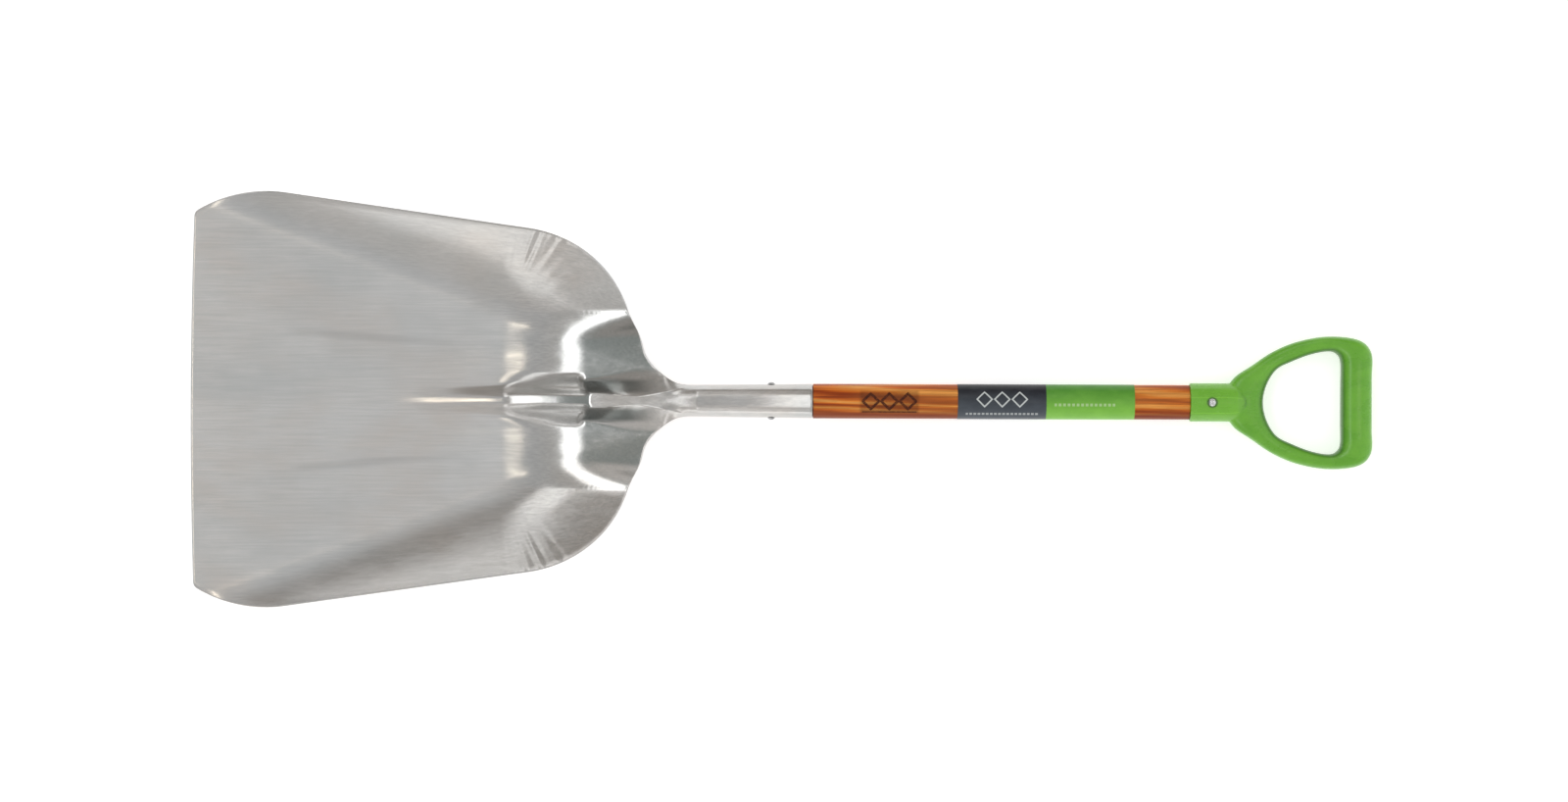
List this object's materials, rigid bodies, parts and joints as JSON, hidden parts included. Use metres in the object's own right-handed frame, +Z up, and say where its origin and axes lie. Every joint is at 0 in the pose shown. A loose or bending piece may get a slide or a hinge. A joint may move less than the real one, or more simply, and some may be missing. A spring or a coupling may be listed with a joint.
{
  "type": "snow shovel",
  "caption": "Wide aluminium scoop shovel for snow or grain, with a rolled socket, a short wood shaft and a moulded D-grip.",
  "frame": {"origin": "on the floor, below the middle of the bounding box, with the shovel lying bowl up on its heel and its crossbar", "axes": "+X from the blade's front edge to the D-grip, +Z up from the floor, +Y to the left when looking along +X"},
  "size_m": [1.2049, 0.4236, 0.0883],
  "materials": {
    "blade_aluminium": "mill finish, lightly brushed, bright where the rear wall is drawn",
    "varnished_wood": "straight-grained, stained and clear varnished",
    "rivet_steel": "zinc plated, dull",
    "green_plastic": "glossy moulded",
    "rivet_aluminium": "satin",
    "navy_film": "semi-gloss printed film",
    "green_film": "semi-gloss printed film"
  },
  "bodies": {
    "root": {"blade": "blade_aluminium", "shaft": "varnished_wood", "socket_rivet": "rivet_steel", "grip": "green_plastic", "grip_rivet": "rivet_aluminium", "label_navy": "navy_film", "label_green": "green_film"}
  },
  "joints": []
}
